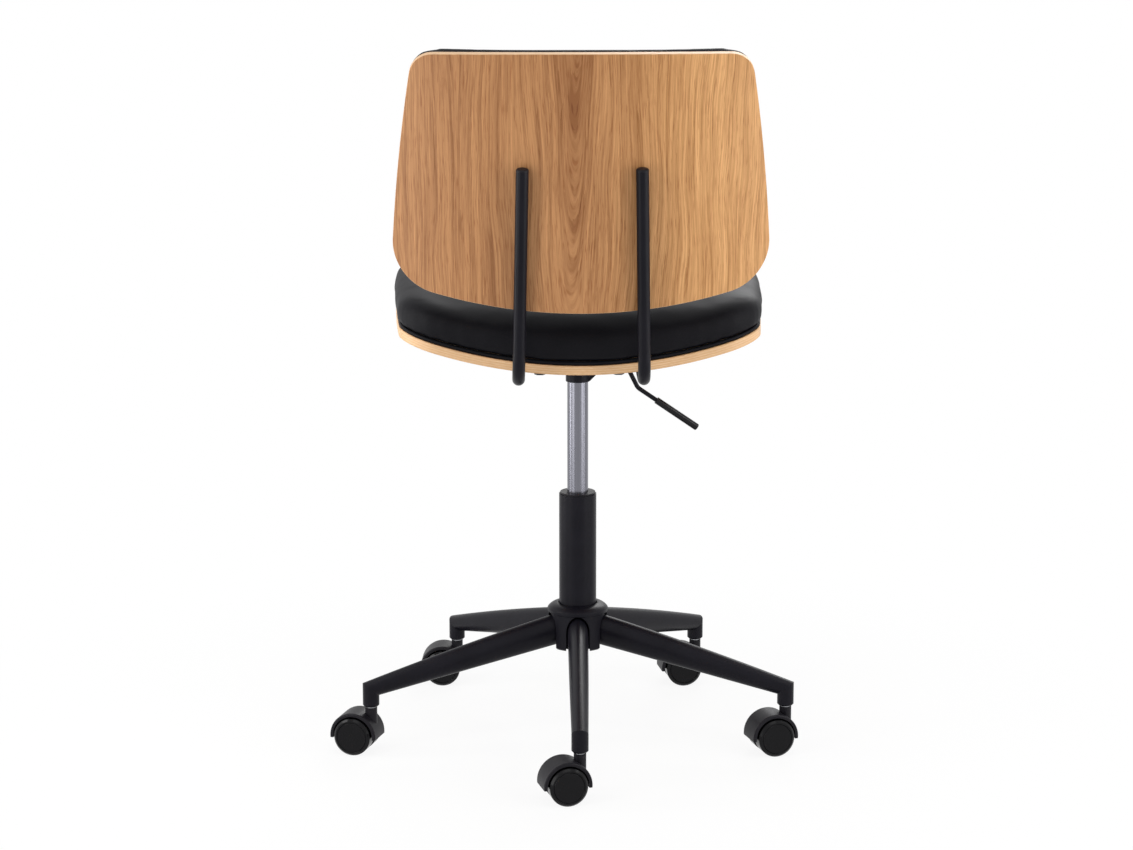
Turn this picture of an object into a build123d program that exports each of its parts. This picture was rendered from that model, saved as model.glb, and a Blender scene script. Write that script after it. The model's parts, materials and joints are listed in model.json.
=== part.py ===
from build123d import *
import os
from math import cos, radians, sin, sqrt

# Swivel office chair: bent plywood seat and back, gas lift, five-leg base on twin-wheel casters.
# Millimetres. +Z is up, the origin is on the floor under the column, the chair faces -Y.

# Clearances
running_clearance = 0.05        # radial, a turning or sliding fit
assembly_gap = 0.1              # between pieces that are bolted, glued or pressed together
moving_gap = 0.4                # between faces that pass each other

# Five-leg base
leg_count = 5
first_leg_angle = 89.4          # degrees from +X, the first leg points to the rear
stem_circle_radius = 290.0
leg_root_width = 27.5
leg_root_height = 42.7
leg_root_z = 147.5              # centre line of a leg at the hub
leg_waist_radius = 135.0        # a leg's top bows up here
leg_waist_width = 26.0
leg_waist_height = 36.8
leg_waist_z = 124.2
leg_tip_width = 21.6
leg_tip_height = 22.6
leg_tip_z = 87.4                # centre line of a leg over the caster
leg_wall = 1.8
socket_diameter = 22.0
socket_bottom_z = 64.0
socket_chamfer = 2.0
hub_bottom_z = 122.5
hub_body_diameter = 79.0
hub_core_diameter = 57.0        # the legs are welded to this face, inside their arches
hub_arch_margin = 2.1
hub_shoulder_diameter = 81.5
hub_shoulder_z = 171.5
hub_shoulder_lip = 3.5
hub_dome_rise = 1.6              # the shoulder's top swells this far above a straight slope
hub_top_diameter = 55.5
hub_top_z = 182.0
hub_recess_diameter = 53.0      # the dark ring round the column's foot
hub_recess_depth = 3.0

# Column and gas lift
column_diameter = 50.0
column_top_z = 333.0
column_wall = 2.0
column_foot_diameter = 45.5     # small end of the taper that wedges into the hub
column_skirt = 6.5              # the end plate lies this far inside the foot
column_plate_thickness = 4.0
bush_length = 90.0
bush_lip_diameter = 47.0
bush_lip_height = 2.5
lift_stroke = 115.0
lift_diameter = 28.0
lift_wall = 2.2
gland_length = 8.0
head_length = 42.0              # solid head of the cylinder, below the release pin
taper_reduction = 1.6           # loss of diameter along the taper in the seat socket
rod_diameter = 10.0
rod_neck_diameter = 8.0
piston_length = 12.0
washer_diameter = 28.0
washer_thickness = 1.5
ball_diameter = 4.0
ball_count = 10
ball_circle_diameter = 20.0
clip_diameter = 15.0
clip_thickness = 1.4
bumper_diameter = 24.0
bumper_height = 6.0
release_pin_diameter = 8.0
release_pin_length = 21.0
release_pin_dome = 6.0          # radius of the pin's round top

# Casters
wheel_diameter = 50.0
wheel_width = 19.5
wheel_bevel = 2.6
wheel_rim = 4.0
wheel_disc = 5.0
wheel_hub_diameter = 14.0
face_groove_diameter = 39.0
face_groove_width = 1.0
face_groove_depth = 0.5
caster_trail = 20.0
caster_web = 9.0
hood_diameter = 63.5
hood_wall = 4.4
hood_width = 40.0
hood_edge_radius = 2.0
hood_lip_drop = 3.0             # the hood ends this far below the axle
axle_diameter = 6.0
axle_length = 39.0
axle_boss_diameter = 13.0
neck_diameter = 16.0
neck_top_z = 62.0
stem_diameter = 11.0
stem_collar_diameter = 13.6
stem_collar_height = 1.4
stem_depth_in_hood = 14.0
stem_height_in_socket = 22.0
stem_tip_chamfer = 1.5
caster_headings = [13.8, 16.3, 8.8, -3.2, -17.0]    # degrees from +X to each trailing wheel

# Seat shell and cushion, bent about an axis along Y
plywood_thickness = 12.0
plywood_edge_radius = 1.2
panel_block_low = 36.0          # depth below the outer face from which a panel is cut
panel_block_high = 150.0        # height above the outer face up to which a panel is cut
crown_sweep = 30.0              # degrees each way, well past a pad's sides
seat_underside_z = 535.0
seat_bend_radius = 720.0
seat_rear_y = 210.0
seat_front_y = -222.0
seat_half_width_rear = 228.5
seat_half_width_front = 241.0
seat_rear_bow = 31.5            # the rear edge lies this far further back at the middle
seat_front_bow = 30.0
seat_side_bow = 6.0
seat_rear_corner = 60.0
seat_front_corner = 85.0
pad_board_thickness = 5.0
welt_width = 6.0
welt_inset = 0.6
welt_round = 2.0
seat_pad_inset = 1.2
seat_pad_height = 62.0          # from the shell to the crown
seat_pad_side_fall = 13.0       # the pad is this much thinner at its sides than at the middle
seat_pad_end_fall = 6.0         # and this much at its front and rear
seat_pad_flat = 10.0            # straight part of its side, between the shoulder and the hem
seat_pad_hem = 5.0

# Backrest, bent about an axis along its own height
back_lean = 9.0                 # degrees
back_foot_y = 250.0             # rear face at the middle of the lower edge
back_foot_z = 620.8
back_bend_radius = 600.0
back_height = 331.0
back_half_width_low = 238.0
back_half_width_top = 207.5
back_low_bow = 31.0
back_top_bow = 8.5
back_side_bow = 4.8
back_low_corner = 62.0
back_top_corner = 32.0
back_pad_inset = 0.3
back_pad_height = 36.0
back_pad_side_fall = 4.0
back_pad_end_fall = 4.0
back_pad_flat = 6.0
back_pad_hem = 3.0

# Back tubes, seat plate and bolts
tube_diameter = 16.0
tube_wall = 1.6
tube_bend_radius = 32.0
tube_half_spacing_low = 79.0
tube_half_spacing_top = 73.5
tube_top_up_back = 186.0        # height of the tube's end up the back
tube_front_y = -108.0
plug_dome = 3.0
plug_round = 2.7
plug_depth = 12.0
plate_thickness = 3.0
plate_width = 166.0
plate_front_y = -114.0
plate_rear_y = 107.0
plate_corner = 14.0
plate_bolt_x = 51.0
plate_bolt_rear_y = 98.0
plate_bolt_front_y = -98.0
plate_bolt_diameter = 8.0
plate_bolt_head_width = 13.0
plate_bolt_head_height = 5.3
spacer_diameter = 16.0
tee_nut_barrel_diameter = 10.0
tee_nut_flange_diameter = 20.0
tee_nut_flange = 1.6
tee_nut_sink = 3.0
seat_socket_diameter = 32.0
seat_socket_length = 33.5
gusset_width = 16.0
gusset_reach = 32.0
gusset_lift = 1.0               # the gusset starts this far above the socket's lower edge
back_bolt_diameter = 6.0
back_bolt_head_diameter = 12.0
back_bolt_head_height = 3.2
back_bolt_sink = 4.6
back_bolts_up_back = [52.0, 158.0]
insert_diameter = 9.0
insert_length = 11.0

# Height lever
lever_diameter = 6.0
lever_axis_height = 6.3         # above the seat plate
lever_pivot_x = -26.0
lever_inner_x = 7.0
lever_elbow_x = -54.0
lever_knee_x = -80.0
lever_knee_z = 477.0
lever_end_x = -158.0
lever_end_z = 423.5
lever_elbow_radius = 9.0
lever_knee_radius = 14.0
lever_travel = 6.0              # degrees
grip_diameter = 9.4
grip_start_x = -105.0
grip_cap = 2.5
grip_round = 2.0
pivot_pin_diameter = 4.0
pivot_pin_overhang = 0.5
pivot_sleeve_diameter = 8.0
pivot_sleeve_length = 13.0
pivot_ear_thickness = 2.0
pivot_ear_width = 11.0
pivot_ear_height = 10.4
pivot_ear_gap = 0.5
slot_width = 8.0
slot_length = 15.0

# Worked-out places
leg_angles = [first_leg_angle + 360.0 * i / leg_count for i in range(leg_count)]
column_foot_z = hub_bottom_z
column_plate_z = column_foot_z + column_skirt
bearing_z = column_plate_z + column_plate_thickness
ball_z = bearing_z + washer_thickness
rod_shoulder_z = ball_z + ball_diameter + washer_thickness + 2 * running_clearance
lift_bottom_z = rod_shoulder_z + bumper_height + moving_gap + lift_stroke
wheel_radius = wheel_diameter / 2
tube_radius = tube_diameter / 2
seat_axis_z = seat_underside_z + seat_bend_radius
tube_bend_reach = seat_bend_radius + tube_radius + assembly_gap
tube_run_z = seat_axis_z - sqrt(tube_bend_reach ** 2 - tube_half_spacing_low ** 2)
plate_top_z = tube_run_z - tube_radius - assembly_gap
plate_bottom_z = plate_top_z - plate_thickness
seat_socket_bottom_z = plate_bottom_z - seat_socket_length
lift_top_z = plate_bottom_z + plate_thickness / 2
lever_z = plate_top_z + lever_axis_height
release_pin_top_z = lever_z - lever_diameter / 2 - assembly_gap
pad_base = plywood_thickness + assembly_gap + pad_board_thickness + assembly_gap

# The seat's own plane has its underside at z = 0; the back's has its rear face there, z forward
seat_plane = Plane(origin=(0, 0, seat_underside_z), x_dir=(1, 0, 0), z_dir=(0, 0, 1))
back_plane = Plane(
    origin=(0, back_foot_y, back_foot_z),
    x_dir=(1, 0, 0),
    z_dir=(0, -cos(radians(back_lean)), sin(radians(back_lean))),
)


def upright(diameter, low, high, x=0.0, y=0.0):
    """A vertical cylinder between two heights."""
    return Pos(x, y, (low + high) / 2) * Cylinder(diameter / 2, high - low)


def ring(outer, inner, low, high):
    """A vertical tube about the column's axis."""
    return upright(outer, low, high) - upright(inner, low, high)


def turned(points):
    """A solid turned about the column's axis from (radius, height) points."""
    outline = Plane.XZ * make_face(Polyline(*points, close=True))
    return revolve(outline, axis=Axis.Z)


def along(start, direction, diameter, length):
    """A cylinder that starts at a point and runs along a direction."""
    return Plane(origin=start, z_dir=direction) * extrude(Circle(diameter / 2), amount=length)


def save(name, shape):
    export_step(shape, f"parts/{name}.step")


# Base


def leg_size(radius):
    """Width, height and centre height of a leg at a distance from the column."""
    root = (hub_core_diameter / 2, leg_root_width, leg_root_height, leg_root_z)
    waist = (leg_waist_radius, leg_waist_width, leg_waist_height, leg_waist_z)
    tip = (stem_circle_radius, leg_tip_width, leg_tip_height, leg_tip_z)
    near, far = (root, waist) if radius < leg_waist_radius else (waist, tip)
    share = (radius - near[0]) / (far[0] - near[0])
    return [low + share * (high - low) for low, high in zip(near[1:], far[1:])]


def leg_section(radius, inset):
    width, height, centre = leg_size(radius)
    plane = Plane(origin=(radius, 0, centre), x_dir=(0, 1, 0), z_dir=(1, 0, 0))
    return plane * Ellipse(width / 2 - inset, height / 2 - inset)


def leg():
    """A tapered oval tube along +X with the caster's socket at its tip."""
    start = hub_core_diameter / 4
    tip = stem_circle_radius + socket_diameter
    body = loft([leg_section(radius, 0) for radius in (start, leg_waist_radius, tip)])
    reach = Box(stem_circle_radius, 2 * leg_root_width, 4 * leg_root_height)
    reach = Pos(stem_circle_radius / 2, 0, leg_root_z) * reach
    tip_post = upright(socket_diameter, 0, 2 * leg_root_z, stem_circle_radius)
    body = body & (reach + tip_post)
    post = upright(socket_diameter, socket_bottom_z, leg_tip_z, stem_circle_radius)
    foot = post.edges().filter_by(GeomType.CIRCLE).sort_by(Axis.Z)[0]
    body = body + chamfer(foot, socket_chamfer)
    hollow_end = stem_circle_radius - socket_diameter / 2 - leg_wall
    hollow = loft([leg_section(radius, leg_wall) for radius in (start, leg_waist_radius, hollow_end)])
    body = body - hollow
    body = body - upright(hub_core_diameter + 2 * assembly_gap, 0, hub_top_z)
    bore_top = socket_bottom_z + stem_height_in_socket + assembly_gap
    return body - upright(stem_diameter, 0, bore_top, stem_circle_radius)


def column_radius(z):
    """Outside radius of the column's taper at a height in the hub."""
    share = (z - column_foot_z) / (hub_top_z - column_foot_z)
    return column_foot_diameter / 2 + share * (column_diameter - column_foot_diameter) / 2


def hub():
    """The hub: a taper bore for the column, a domed shoulder and an arch round each leg."""
    body = hub_body_diameter / 2
    shoulder = hub_shoulder_diameter / 2
    top = hub_top_diameter / 2
    recess = hub_recess_diameter / 2
    edge = socket_chamfer
    lip_z = hub_shoulder_z + hub_shoulder_lip
    recess_z = hub_top_z - hub_recess_depth
    sides = Polyline(
        (top, hub_top_z),
        (recess, hub_top_z),
        (recess, recess_z),
        (column_radius(recess_z) + assembly_gap, recess_z),
        (column_radius(hub_bottom_z) + assembly_gap, hub_bottom_z),
        (body - edge, hub_bottom_z),
        (body, hub_bottom_z + edge),
        (body, hub_shoulder_z - (shoulder - body)),
        (shoulder, hub_shoulder_z),
        (shoulder, lip_z),
    )
    dome = ThreePointArc(
        (shoulder, lip_z),
        ((shoulder + top) / 2 + hub_dome_rise / 2, (lip_z + hub_top_z) / 2 + hub_dome_rise),
        (top, hub_top_z),
    )
    shape = revolve(Plane.XZ * make_face([sides, dome]), axis=Axis.Z)
    arch_plane = Plane(origin=(0, 0, leg_root_z), x_dir=(0, 1, 0), z_dir=(1, 0, 0))
    arch = Ellipse(leg_root_width / 2 + hub_arch_margin, leg_root_height / 2 + hub_arch_margin)
    below = Pos(0, -leg_root_height) * Rectangle(leg_root_width + 2 * hub_arch_margin, 2 * leg_root_height)
    tunnel = extrude(arch_plane * (arch + below), amount=hub_shoulder_diameter)
    tunnel = tunnel - upright(hub_core_diameter, 0, hub_top_z)
    for angle in leg_angles:
        shape = shape - Rot(0, 0, angle) * tunnel
    return shape


def column():
    """The outer tube, wedged into the hub, with an end plate that carries the bearing."""
    outer = column_diameter / 2
    plate_top = column_plate_z + column_plate_thickness
    hole = rod_neck_diameter / 2 + moving_gap
    return turned(
        [
            (column_radius(column_foot_z), column_foot_z),
            (outer, hub_top_z),
            (outer, column_top_z),
            (outer - column_wall, column_top_z),
            (outer - column_wall, hub_top_z),
            (column_radius(plate_top) - column_wall, plate_top),
            (hole, plate_top),
            (hole, column_plate_z),
            (column_radius(column_plate_z) - column_wall, column_plate_z),
            (column_radius(column_foot_z) - column_wall, column_foot_z),
        ]
    )


def guide_bush():
    """The plastic liner that guides the cylinder, with a lip on the column's rim."""
    outer = column_diameter - 2 * column_wall - 2 * assembly_gap
    bore = lift_diameter + 2 * running_clearance
    low = column_top_z - bush_length
    rim = column_top_z + bush_lip_height
    return ring(outer, bore, low, column_top_z) + ring(bush_lip_diameter, bore, column_top_z, rim)


def bearing_balls():
    centre_z = ball_z + running_clearance + ball_diameter / 2
    spot = Pos(ball_circle_diameter / 2, 0, centre_z) * Sphere(ball_diameter / 2)
    return Compound([Rot(0, 0, 360.0 * i / ball_count) * spot for i in range(ball_count)])


# Gas lift


def piston_rod():
    """The rod that stands on the bearing; its neck goes down through the end plate."""
    top = lift_bottom_z + gland_length + moving_gap
    neck_low = column_plate_z - moving_gap - 2 * clip_thickness
    rod = upright(rod_diameter, rod_shoulder_z, top)
    return rod + upright(rod_neck_diameter, neck_low, rod_shoulder_z)


def piston():
    low = lift_bottom_z + gland_length + moving_gap
    bore = lift_diameter - 2 * lift_wall
    return upright(bore - 2 * running_clearance, low + assembly_gap, low + piston_length)


def gas_cylinder():
    """The sliding cylinder: gland below, long bore, tapered head with the release pin's bore."""
    radius = lift_diameter / 2
    bore = radius - lift_wall
    bore_top = seat_socket_bottom_z - head_length / 2
    shape = turned(
        [
            (rod_diameter / 2 + running_clearance, lift_bottom_z),
            (radius, lift_bottom_z),
            (radius, seat_socket_bottom_z),
            (radius - taper_reduction / 2, lift_top_z),
            (0, lift_top_z),
            (0, bore_top),
            (bore, bore_top),
            (bore, lift_bottom_z + gland_length),
            (rod_diameter / 2 + running_clearance, lift_bottom_z + gland_length),
        ]
    )
    pin_low = release_pin_top_z - release_pin_length - 2 * lever_drop() - moving_gap
    return shape - upright(release_pin_diameter + 2 * running_clearance, pin_low, lift_top_z)


def lever_drop():
    """How far the lever's inner end presses the release pin down."""
    return -lever_pivot_x * sin(radians(lever_travel))


def release_pin():
    """The pin in the cylinder's head, with a round top for the lever to press on."""
    low = release_pin_top_z - release_pin_length
    dome_z = release_pin_top_z - release_pin_dome
    cap = upright(release_pin_diameter, dome_z, release_pin_top_z)
    cap = cap & Pos(0, 0, dome_z) * Sphere(release_pin_dome)
    return upright(release_pin_diameter, low, dome_z) + cap


# Casters, drawn with the stem on Z and the wheel trailing along +X


def axle_at(y, diameter, length):
    """A cylinder about the axle, from y outwards."""
    return along((caster_trail, y, wheel_radius), (0, 1, 0), diameter, length)


def caster_hood():
    """A half-round hood on a middle web that holds the axle and, in its neck, the stem."""
    outer = axle_at(-hood_width / 2, hood_diameter, hood_width)
    rims = outer.edges().filter_by(GeomType.CIRCLE)
    outer = fillet(rims, hood_edge_radius)
    lip_z = wheel_radius - hood_lip_drop
    upper_half = Box(2 * hood_diameter, hood_width, hood_diameter)
    outer = outer & Pos(caster_trail, 0, lip_z + hood_diameter / 2) * upper_half
    shape = outer + upright(neck_diameter, wheel_radius, neck_top_z)
    shape = shape + axle_at(-caster_web / 2, axle_boss_diameter, caster_web)
    pocket = hood_diameter - 2 * hood_wall
    shape = shape - axle_at(caster_web / 2, pocket, hood_width)
    shape = shape - axle_at(-caster_web / 2 - hood_width, pocket, hood_width)
    bore_low = neck_top_z - stem_depth_in_hood - moving_gap
    shape = shape - upright(stem_diameter + 2 * running_clearance, bore_low, neck_top_z)
    return shape - axle_at(-hood_width, axle_diameter, 2 * hood_width)


def axle():
    return axle_at(-axle_length / 2, axle_diameter - 2 * running_clearance, axle_length)


def wheel():
    """One wheel of a pair: a rim and a hub behind a closed, bevelled outer face."""
    inner_y = caster_web / 2 + moving_gap
    face_y = inner_y + wheel_width
    bore = axle_diameter / 2
    bore_end = axle_length / 2 + moving_gap
    disc_y = face_y - wheel_disc
    groove = face_groove_diameter / 2
    points = [
        (bore, inner_y),
        (wheel_hub_diameter / 2, inner_y),
        (wheel_hub_diameter / 2, disc_y),
        (wheel_radius - wheel_rim, disc_y),
        (wheel_radius - wheel_rim, inner_y),
        (wheel_radius - wheel_bevel / 2, inner_y),
        (wheel_radius, inner_y + wheel_bevel / 2),
        (wheel_radius, face_y - wheel_bevel),
        (wheel_radius - wheel_bevel, face_y),
        (groove + face_groove_width, face_y),
        (groove + face_groove_width / 2, face_y - face_groove_depth),
        (groove, face_y),
        (0, face_y),
        (0, bore_end),
        (bore, bore_end),
    ]
    outline = Plane.XY * make_face(Polyline(*points, close=True))
    shape = revolve(outline, axis=Axis.Y)
    return Pos(caster_trail, 0, wheel_radius) * shape


def caster_stem():
    """A steel stem: held in the leg's socket above its collar, turning in the hood below it."""
    collar_low = socket_bottom_z - stem_collar_height
    low = neck_top_z - stem_depth_in_hood
    high = socket_bottom_z + stem_height_in_socket
    upper = upright(stem_diameter - 2 * running_clearance, collar_low, high)
    tip = upper.edges().filter_by(GeomType.CIRCLE).sort_by(Axis.Z)[-1]
    upper = chamfer(tip, stem_tip_chamfer)
    collar = upright(stem_collar_diameter, collar_low, socket_bottom_z)
    return upper + collar + upright(stem_diameter, low, collar_low)


# Bent panels, drawn with the outer face's middle line on z = 0 and the bend's axis above it


def bend_cylinder(bend_radius, depth):
    """The solid inside the bent surface that lies a depth above the outer face."""
    reach = 2 * bend_radius
    return Pos(0, 0, bend_radius) * Rot(90, 0, 0) * Cylinder(bend_radius - depth, reach)


def upright_block(outline):
    """The outline drawn up through the bent layers, well short of the bend's axis."""
    return Pos(0, 0, -panel_block_low) * extrude(outline, amount=panel_block_low + panel_block_high)


def bent_layer(outline, bend_radius, low, high):
    """The part of the outline between two depths above the outer face."""
    block = upright_block(outline)
    return (block & bend_cylinder(bend_radius, low)) - bend_cylinder(bend_radius, high)


def panel_outline(low_end, high_end, side_bow, inset):
    """A panel with bowed edges and round corners, drawn in all round by an inset.

    Each end is its y at the middle, its half width, how far it bows out and its corner radius.
    """
    low_y, low_half, low_bow, low_corner = low_end
    high_y, high_half, high_bow, high_corner = high_end
    low_x = low_half - inset
    high_x = high_half - inset
    low_edge_y = low_y + inset
    high_edge_y = high_y - inset
    low_corner_y = low_edge_y + low_bow * (low_x / low_half) ** 2
    high_corner_y = high_edge_y - high_bow * (high_x / high_half) ** 2
    middle_y = (low_corner_y + high_corner_y) / 2
    middle_x = (low_x + high_x) / 2 + side_bow
    low_edge = ThreePointArc((-low_x, low_corner_y), (0, low_edge_y), (low_x, low_corner_y))
    right_edge = ThreePointArc((low_x, low_corner_y), (middle_x, middle_y), (high_x, high_corner_y))
    high_edge = ThreePointArc((high_x, high_corner_y), (0, high_edge_y), (-high_x, high_corner_y))
    left_edge = ThreePointArc((-high_x, high_corner_y), (-middle_x, middle_y), (-low_x, low_corner_y))
    face = make_face([low_edge, right_edge, high_edge, left_edge])
    face = fillet(face.vertices().sort_by(Axis.Y)[:2], low_corner - inset)
    return fillet(face.vertices().sort_by(Axis.Y)[-2:], high_corner - inset)


def seat_outline(inset=0.0):
    front = (seat_front_y, seat_half_width_front, seat_front_bow, seat_front_corner)
    rear = (seat_rear_y, seat_half_width_rear, seat_rear_bow, seat_rear_corner)
    return panel_outline(front, rear, seat_side_bow, inset)


def back_outline(inset=0.0):
    foot = (0, back_half_width_low, back_low_bow, back_low_corner)
    top = (back_height, back_half_width_top, back_top_bow, back_top_corner)
    return panel_outline(foot, top, back_side_bow, inset)


def shell(outline, bend_radius):
    """A bent plywood panel with softened edges."""
    panel = bent_layer(outline, bend_radius, 0, plywood_thickness)
    skins = panel.faces().filter_by(GeomType.CYLINDER).sort_by(SortBy.AREA)[-2:]
    return fillet(skins.edges(), plywood_edge_radius)


def board(outline, bend_radius):
    """The thin panel that the pad's cover is stapled to, inside the welt."""
    low = plywood_thickness + assembly_gap
    inner = outline(welt_inset + welt_width + assembly_gap)
    return bent_layer(inner, bend_radius, low, low + pad_board_thickness)


def welt(outline, bend_radius):
    """The piped welt round the foot of a pad."""
    low = plywood_thickness + assembly_gap
    high = low + pad_board_thickness
    band = bent_layer(outline(welt_inset), bend_radius, low, high)
    band = band - upright_block(outline(welt_inset + welt_width))
    skins = band.faces().filter_by(GeomType.CYLINDER).sort_by(SortBy.AREA)[-2:]
    outer_rims = [face.outer_wire().edges() for face in skins]
    return fillet([edge for edges in outer_rims for edge in edges], welt_round)


def sagitta(radius, half):
    """How far an arc falls from its middle to half its width."""
    return radius - sqrt(radius ** 2 - half ** 2)


def arc_radius(fall, half):
    """The radius of an arc that falls by an amount over half its width."""
    return (half ** 2 + fall ** 2) / (2 * fall)


def pad(outline, bend_radius, height, side_fall, end_fall, flat, hem):
    """A crowned cushion: bent like its shell, thickest at the middle, with a round shoulder."""
    box = outline.bounding_box()
    middle_y = box.center().Y
    half_length = box.size.Y / 2
    half_width = box.size.X / 2
    crown_z = plywood_thickness + height
    rise = sagitta(bend_radius - pad_base, half_width) - side_fall
    cross_radius = arc_radius(rise, half_width)
    length_radius = arc_radius(end_fall, half_length)
    reach = 2 * half_length
    drop = sagitta(length_radius, reach)
    crown_arc = ThreePointArc(
        (middle_y - reach, crown_z - drop), (middle_y, crown_z), (middle_y + reach, crown_z - drop)
    )
    sides = Polyline(
        (middle_y + reach, crown_z - drop),
        (middle_y + reach, -panel_block_low),
        (middle_y - reach, -panel_block_low),
        (middle_y - reach, crown_z - drop),
    )
    profile = Plane.YZ * make_face([crown_arc, sides])
    sweep_axis = Axis((0, 0, crown_z + cross_radius), (0, 1, 0))
    start = profile.rotate(sweep_axis, -crown_sweep)
    crown = revolve(start, axis=sweep_axis, revolution_arc=2 * crown_sweep)
    body = upright_block(outline) & bend_cylinder(bend_radius, pad_base) & crown
    shoulder = crown_z - pad_base - side_fall - end_fall - flat - hem
    faces = body.faces().sort_by(SortBy.AREA)[-2:].sort_by(Axis.Z)
    body = fillet(faces[1].edges(), shoulder)
    faces = body.faces().sort_by(SortBy.AREA)[-2:].sort_by(Axis.Z)
    return fillet(faces[0].edges(), hem)


# Back tubes


def back_point(x, up, forward):
    """A point of the back's own plane in the chair's frame."""
    return back_plane.from_local_coords(Vector(x, up, forward))


def tube_depth(x):
    """Where a tube's centre line lies, in the back's plane, to rest on the bent rear face."""
    reach = back_bend_radius + tube_radius + assembly_gap
    return back_bend_radius - sqrt(reach ** 2 - x ** 2)


def tube_half_spacing(up):
    """Half the distance between the tubes at a height up the back."""
    share = (up - tube_foot_up) / (tube_top_up_back - tube_foot_up)
    return tube_half_spacing_low + share * (tube_half_spacing_top - tube_half_spacing_low)


# Height in the back's plane at which a tube's centre line meets its run under the seat
tube_foot_up = (
    tube_run_z - back_foot_z - tube_depth(tube_half_spacing_low) * sin(radians(back_lean))
) / cos(radians(back_lean))


def tube_path(side):
    foot = back_point(side * tube_half_spacing_low, tube_foot_up, tube_depth(tube_half_spacing_low))
    top = back_point(side * tube_half_spacing_top, tube_top_up_back, tube_depth(tube_half_spacing_top))
    front = Vector(side * tube_half_spacing_low, tube_front_y, tube_run_z)
    return FilletPolyline(front, foot, top, radius=tube_bend_radius)


def bolt_plane(side, up):
    """On a tube's centre line, with z towards the middle of the back's bend."""
    x = side * tube_half_spacing(up)
    start = back_point(x, up, tube_depth(tube_half_spacing(up)))
    target = back_point(0, up, back_bend_radius)
    return Plane(origin=start, z_dir=target - start)


def along_bolt(side, up, diameter, low, high):
    """A cylinder on a back bolt's axis between two distances from the tube's centre."""
    return bolt_plane(side, up) * Pos(0, 0, low) * extrude(Circle(diameter / 2), amount=high - low)


bolt_sites = [(side, up) for side in (-1, 1) for up in back_bolts_up_back]
shell_front = tube_radius + assembly_gap + plywood_thickness
bolt_head_seat = shell_front - back_bolt_sink
insert_back = tube_radius - insert_length


def back_tube(side):
    """A bent steel tube, with holes in its front wall for the back's inserts."""
    path = tube_path(side)
    section = Circle(tube_radius) - Circle(tube_radius - tube_wall)
    tube = sweep(Plane(origin=path @ 0, z_dir=path % 0) * section, path=path)
    for up in back_bolts_up_back:
        tube = tube - along_bolt(side, up, insert_diameter + 2 * assembly_gap, 0, tube_diameter)
    return tube


def tube_plug(path, end):
    """A domed plug in one end of a tube."""
    heading = path % end if end == 1 else (path % end) * -1
    plane = Plane(origin=path @ end, z_dir=heading)
    head = extrude(Circle(tube_radius), amount=plug_dome)
    head = fillet(head.edges().filter_by(GeomType.CIRCLE).sort_by(Axis.Z)[-1], plug_round)
    tail = extrude(Circle(tube_radius - tube_wall - assembly_gap), amount=-plug_depth)
    return plane * Pos(0, 0, assembly_gap) * (head + tail)


def tube_plugs():
    paths = [tube_path(side) for side in (-1, 1)]
    return Compound([tube_plug(path, end) for path in paths for end in (0, 1)])


def insert(side, up):
    """A threaded insert in the tube's front wall."""
    outside = along_bolt(side, up, insert_diameter, insert_back, tube_radius - assembly_gap)
    return outside - along_bolt(side, up, back_bolt_diameter + 2 * assembly_gap, insert_back, tube_radius)


def back_bolt(side, up):
    head_top = bolt_head_seat + back_bolt_head_height
    head = along_bolt(side, up, back_bolt_head_diameter, bolt_head_seat, head_top)
    return head + along_bolt(side, up, back_bolt_diameter, insert_back + assembly_gap, bolt_head_seat)


def back_shell():
    panel = back_plane * shell(back_outline(), back_bend_radius)
    for side, up in bolt_sites:
        panel = panel - along_bolt(side, up, back_bolt_diameter + 2 * assembly_gap, 0, 2 * shell_front)
        sink = back_bolt_head_diameter + 2 * moving_gap
        panel = panel - along_bolt(side, up, sink, bolt_head_seat - assembly_gap, 2 * shell_front)
    return panel


# Seat plate, its bolts and the socket for the gas lift


plate_bolt_rows = (plate_bolt_front_y, plate_bolt_rear_y)
plate_bolt_sites = [(x, y) for x in (-plate_bolt_x, plate_bolt_x) for y in plate_bolt_rows]
lever_slope = (lever_elbow_x - lever_knee_x) / (lever_z - lever_knee_z)
slot_x = lever_elbow_x - (lever_z - plate_top_z) * lever_slope


def seat_level(x, depth):
    """Height of a bent layer of the seat at a distance from the middle."""
    return seat_axis_z - sqrt((seat_bend_radius - depth) ** 2 - x ** 2)


def pivot_ear(side):
    """An ear pressed up from the plate; its round top holds the lever's pin."""
    y = side * (pivot_sleeve_length / 2 + pivot_ear_gap + pivot_ear_thickness / 2)
    low = plate_top_z - plate_thickness / 2
    high = plate_top_z + pivot_ear_height
    block = Pos(lever_pivot_x, y, (low + high) / 2) * Box(pivot_ear_width, pivot_ear_thickness, high - low)
    top_edges = block.edges().filter_by(Axis.Y).sort_by(Axis.Z)[-2:]
    return fillet(top_edges, pivot_ear_width / 3)


def pivot_rod(diameter, length):
    """A cylinder on the lever's axis, centred on the chair."""
    return along((lever_pivot_x, -length / 2, lever_z), (0, 1, 0), diameter, length)


pivot_pin_length = pivot_sleeve_length + 2 * (pivot_ear_gap + pivot_ear_thickness + pivot_pin_overhang)


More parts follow.
